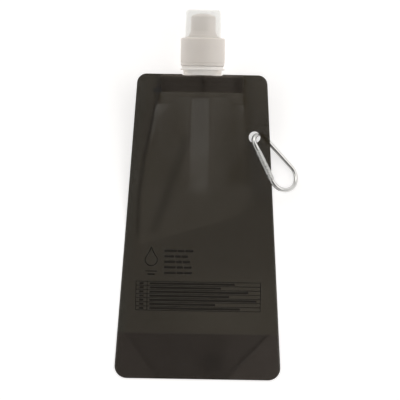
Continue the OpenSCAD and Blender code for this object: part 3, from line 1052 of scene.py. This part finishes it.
def rod_path():
    """From the nose over the narrow bend, down the spine and round to the heel."""
    path = [(gate_start + gate_x * (NOSE_S - JOINT_GAP - 0.35 * k), -gate_x) for k in (0, 1)]
    path.append((gate_start + gate_x * 0.4, -gate_x))
    path += arc(narrow_centre, NARROW_R, math.pi - SIDE_LEAN, SIDE_LEAN, 28)
    path += arc(wide_centre, WIDE_R, SIDE_LEAN, -math.pi - SIDE_LEAN, 44)
    return path


def tongue(bm, root_s, tip_s):
    """A flat tongue along the gate side, as wide as the rod and rounded like it."""
    steps, tip_scale, fit = 10, 0.9, 0.985
    outline = []
    for sign in (1, -1):
        for k in range(steps + 1):
            z = sign * TONGUE_T / 2 * (1 - 2 * k / steps)
            outline.append((sign * math.sqrt(ROD_R**2 - z * z) * fit, z))
    bevel = math.copysign(TONGUE_BEVEL, tip_s - root_s)
    stations = [(root_s, 1), (root_s + bevel, 1), (tip_s - bevel, 1), (tip_s, tip_scale)]
    rings = []
    for s, scale in sorted(stations):
        middle = gate_start + gate_x * s
        rings.append(
            [bm.verts.new((middle + gate_y * y * scale + loop_normal * z) * MM) for y, z in outline]
        )
    skin_rings(bm, rings)


def carabiner_rod():
    """The bent rod, chamfered at its two ends, with a flat tongue at each."""
    bm = bmesh.new()
    path = rod_path()
    end, direction = path[-1]
    path.append((end + direction * 0.12, direction))
    rings = []
    for i, (point, direction) in enumerate(path):
        chamfer = ROD_CHAMFER if i in (0, len(path) - 1) else 1.0
        rings.append(add_ring(bm, point, direction, loop_normal, ROD_R * chamfer, ROD_SIDES))
    skin_rings(bm, rings)
    tongue(bm, NOSE_S - 0.5, NOSE_TIP_S)
    tongue(bm, SIDE_LENGTH + 0.1, HEEL_TIP_S)
    bmesh.ops.recalc_face_normals(bm, faces=bm.faces)
    return new_object("carabiner_rod", bm, [ALUMINIUM], 50)


carabiner = carabiner_rod()
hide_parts("carabiner_frame")
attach(carabiner, "carabiner")


# ---------------------------------------------------------------- CAD nodes kept as they are
def repaint(node, mat):
    obj = frame["nodes"][node]
    obj.data.materials.clear()
    obj.data.materials.append(mat)


repaint("carabiner_gate", GATE_ALUMINIUM)
for node in ("gate_hinge_pin", "gate_latch_pin", "gate_plunger"):
    repaint(node, ALUMINIUM)
repaint("gate_spring", STEEL)
repaint("cap_seal", SEAL)


# ---------------------------------------------------------------- print
class Print:
    """Flat ink shapes that lie on the front film and follow its shape."""

    LIFT = 0.03
    CELL = 1.6

    def __init__(self):
        self.bm = bmesh.new()
        self.uv = self.bm.loops.layers.uv.new("flat")
        self.flat = {}

    def point(self, x, y):
        v = self.bm.verts.new(place(y, x, front_z(x, y) + FILM_T + self.LIFT))
        self.flat[v] = (x, y)
        return v

    def face(self, verts):
        face = self.bm.faces.new(verts)
        for loop in face.loops:
            loop[self.uv].uv = [t * MM for t in self.flat[loop.vert]]

    def bar(self, x0, y0, x1, y1):
        """A rectangle, cut into cells small enough to follow the film."""
        nx = max(1, math.ceil((x1 - x0) / self.CELL))
        ny = max(1, math.ceil((y1 - y0) / self.CELL))
        xs = [x0 + (x1 - x0) * i / nx for i in range(nx + 1)]
        ys = [y0 + (y1 - y0) * j / ny for j in range(ny + 1)]
        grid = [[self.point(x, y) for x in xs] for y in ys]
        for a, b in zip(grid, grid[1:]):
            for i in range(nx):
                self.face((a[i], a[i + 1], b[i + 1], b[i]))

    def ring(self, points, width):
        """A closed line of the given width round a list of points."""
        count = len(points)
        inner, outer = [], []
        for i, p in enumerate(points):
            forward = (points[(i + 1) % count] - points[i - 1]).normalized()
            side = Vector((forward.y, -forward.x)) * width / 2
            inner.append(self.point(*(p - side)))
            outer.append(self.point(*(p + side)))
        for i in range(count):
            j = (i + 1) % count
            self.face((inner[i], outer[i], outer[j], inner[j]))

    def finish(self, name, mat):
        obj = new_object(name, self.bm, [mat])
        bend_at_fold(obj)


LINE_W = 0.42
TABLE_X0, TABLE_X1 = -45.8, 45.0
TABLE_Y0, TABLE_Y1 = 49.8, 70.8
TABLE_COLUMN_W = 8.2
# One length for each row of the table and each line beside the symbol
ROW_LENGTHS = (66, 48, 78, 58, 72, 52, 62)
ROW_HALF_H = 0.7
LINE_LENGTHS = (21.0, 17.0, 18.6, 19.8, 20.2)
LINES_X, LINES_Y, LINE_STEP, LINE_HALF_H = -25.4, 93.2, 4.0, 0.8
WORD_SHARES = (0.42, 0.23, 0.27)
WORD_GAP_SHARE = 0.04
DROP_X, DROP_Y, DROP_R = -35.0, 86.6, 4.4
DROP_LINE_W = 0.6
DROP_STEPS = 48


def print_table():
    """A ruled table whose rows are plain bars."""
    table, rows = Print(), Print()
    row_h = (TABLE_Y1 - TABLE_Y0) / len(ROW_LENGTHS)
    for k in range(len(ROW_LENGTHS) + 1):
        y = TABLE_Y0 + row_h * k
        table.bar(TABLE_X0, y - LINE_W / 2, TABLE_X1, y + LINE_W / 2)
    for x in (TABLE_X0, TABLE_X0 + TABLE_COLUMN_W, TABLE_X1):
        table.bar(x - LINE_W / 2, TABLE_Y0, x + LINE_W / 2, TABLE_Y1)
    for k, length in enumerate(ROW_LENGTHS):
        y = TABLE_Y0 + row_h * (k + 0.5)
        for x, bar_l in ((TABLE_X0 + 2.6, 3), (TABLE_X0 + 10, length)):
            rows.bar(x, y - ROW_HALF_H, x + bar_l, y + ROW_HALF_H)
    table.finish("print_table", INK)
    rows.finish("print_rows", FAINT_INK)


def print_drop():
    """A droplet over two plain bars."""
    points = []
    for k in range(DROP_STEPS):
        a = 2 * math.pi * k / DROP_STEPS
        pinch = max(0.0, math.sin(a)) ** 3
        x = DROP_X + DROP_R * math.cos(a) * (1 - 0.75 * pinch)
        y = DROP_Y + DROP_R * math.sin(a) * (1 + 1.1 * pinch)
        points.append(Vector((x, y)))
    marks = Print()
    marks.ring(points, DROP_LINE_W)
    marks.bar(DROP_X - 4.2, 78.0, DROP_X + 4.2, 78.6)
    marks.bar(DROP_X - 2.6, 75.6, DROP_X + 2.6, 76.6)
    marks.finish("print_drop", INK)


def print_lines():
    """Lines of plain bars, broken like words."""
    lines = Print()
    for k, length in enumerate(LINE_LENGTHS):
        y = LINES_Y - LINE_STEP * k
        x = LINES_X
        for share in WORD_SHARES:
            lines.bar(x, y - LINE_HALF_H, x + length * share, y + LINE_HALF_H)
            x += length * (share + WORD_GAP_SHARE)
    lines.finish("print_lines", FAINT_INK)


print_table()
print_drop()
print_lines()


# ---------------------------------------------------------------- floor and light
FLOOR_HALF_W = 4.0
FLOOR_Z = -0.02 * MM


def floor():
    """A pale floor with a faint even glow of its own, so that it reads white."""
    bm = bmesh.new()
    bmesh.ops.create_grid(bm, x_segments=1, y_segments=1, size=FLOOR_HALF_W)
    for v in bm.verts:
        v.co.z = FLOOR_Z
    m = Nodes("pale_floor")
    speck = m.noise(40, 2)
    m.set(
        Base_Color=m.tint(speck, (0.635, 0.63, 0.63), (0.65, 0.645, 0.645)),
        Roughness=0.9,
        Specular_IOR_Level=0.1,
        Emission_Color=(1.0, 0.99, 0.985, 1),
        Emission_Strength=0.63,
    )
    obj = new_object("floor", bm, [m.mat])


floor()


def studio():
    """A studio that is dim overhead and bright low down all round, with an arch of light
    between, and one soft light past the bottle's foot that the sloping film mirrors."""
    world = bpy.data.worlds.new("studio")
    bpy.context.scene.world = world
    world.use_nodes = True
    tree = world.node_tree
    tree.nodes.clear()

    def math_node(kind, a, b=None, c=None):
        node = tree.nodes.new("ShaderNodeMath")
        node.operation = kind
        for socket, value in zip(node.inputs, (a, b, c)):
            if isinstance(value, bpy.types.NodeSocket):
                tree.links.new(value, socket)
            elif value is not None:
                socket.default_value = value
        return node.outputs[0]

    def ramp(value, low, high, out_low, out_high):
        node = tree.nodes.new("ShaderNodeMapRange")
        node.interpolation_type = "SMOOTHSTEP"
        tree.links.new(value, node.inputs["Value"])
        limits = {"From Min": low, "From Max": high, "To Min": out_low, "To Max": out_high}
        for key, limit in limits.items():
            node.inputs[key].default_value = limit
        return node.outputs["Result"]

    def product(first, *others):
        for other in others:
            first = math_node("MULTIPLY", first, other)
        return first

    coords = tree.nodes.new("ShaderNodeTexCoord")
    split = tree.nodes.new("ShaderNodeSeparateXYZ")
    tree.links.new(coords.outputs["Generated"], split.inputs[0])
    x, y, z = split.outputs
    # The angle from straight overhead
    angle = math_node("ARCCOSINE", z)
    degree = math.radians(1)
    dome = ramp(angle, 30 * degree, 66 * degree, 0.15, 0.40)
    dome = math_node("MAXIMUM", math_node("MULTIPLY_ADD", x, 0.04, dome), 0.08)
    low_ring = ramp(angle, 62 * degree, 76 * degree, 0.0, 0.48)
    # A broad arch of light on every side but the foot's
    arch = product(
        ramp(angle, 24 * degree, 40 * degree, 0.0, 1.0),
        ramp(angle, 48 * degree, 66 * degree, 1.0, 0.0),
        ramp(y, -0.32, -0.08, 0.0, 1.64),
        ramp(x, -0.32, 0.08, 0.6, 1.0),
    )
    # The soft light past the foot: how wide it is, its two ends, and nothing near the floor
    soft_box = product(
        ramp(math_node("ABSOLUTE", x), 0.045, 0.085, 1.0, 0.0),
        ramp(y, -math.sin(33 * degree), -math.sin(30.5 * degree), 1.0, 0.0),
        ramp(y, -math.sin(56 * degree), -math.sin(50 * degree), 0.0, 1.0),
        ramp(z, 0.2, 0.4, 0.0, 1.0),
    )
    dome = math_node("ADD", dome, arch)
    total = math_node("ADD", low_ring, math_node("MULTIPLY_ADD", soft_box, 0.78, dome))
    background = tree.nodes.new("ShaderNodeBackground")
    background.inputs["Color"].default_value = (1.0, 0.99, 0.965, 1)
    tree.links.new(total, background.inputs["Strength"])
    output = tree.nodes.new("ShaderNodeOutputWorld")
    tree.links.new(background.outputs[0], output.inputs["Surface"])


studio()
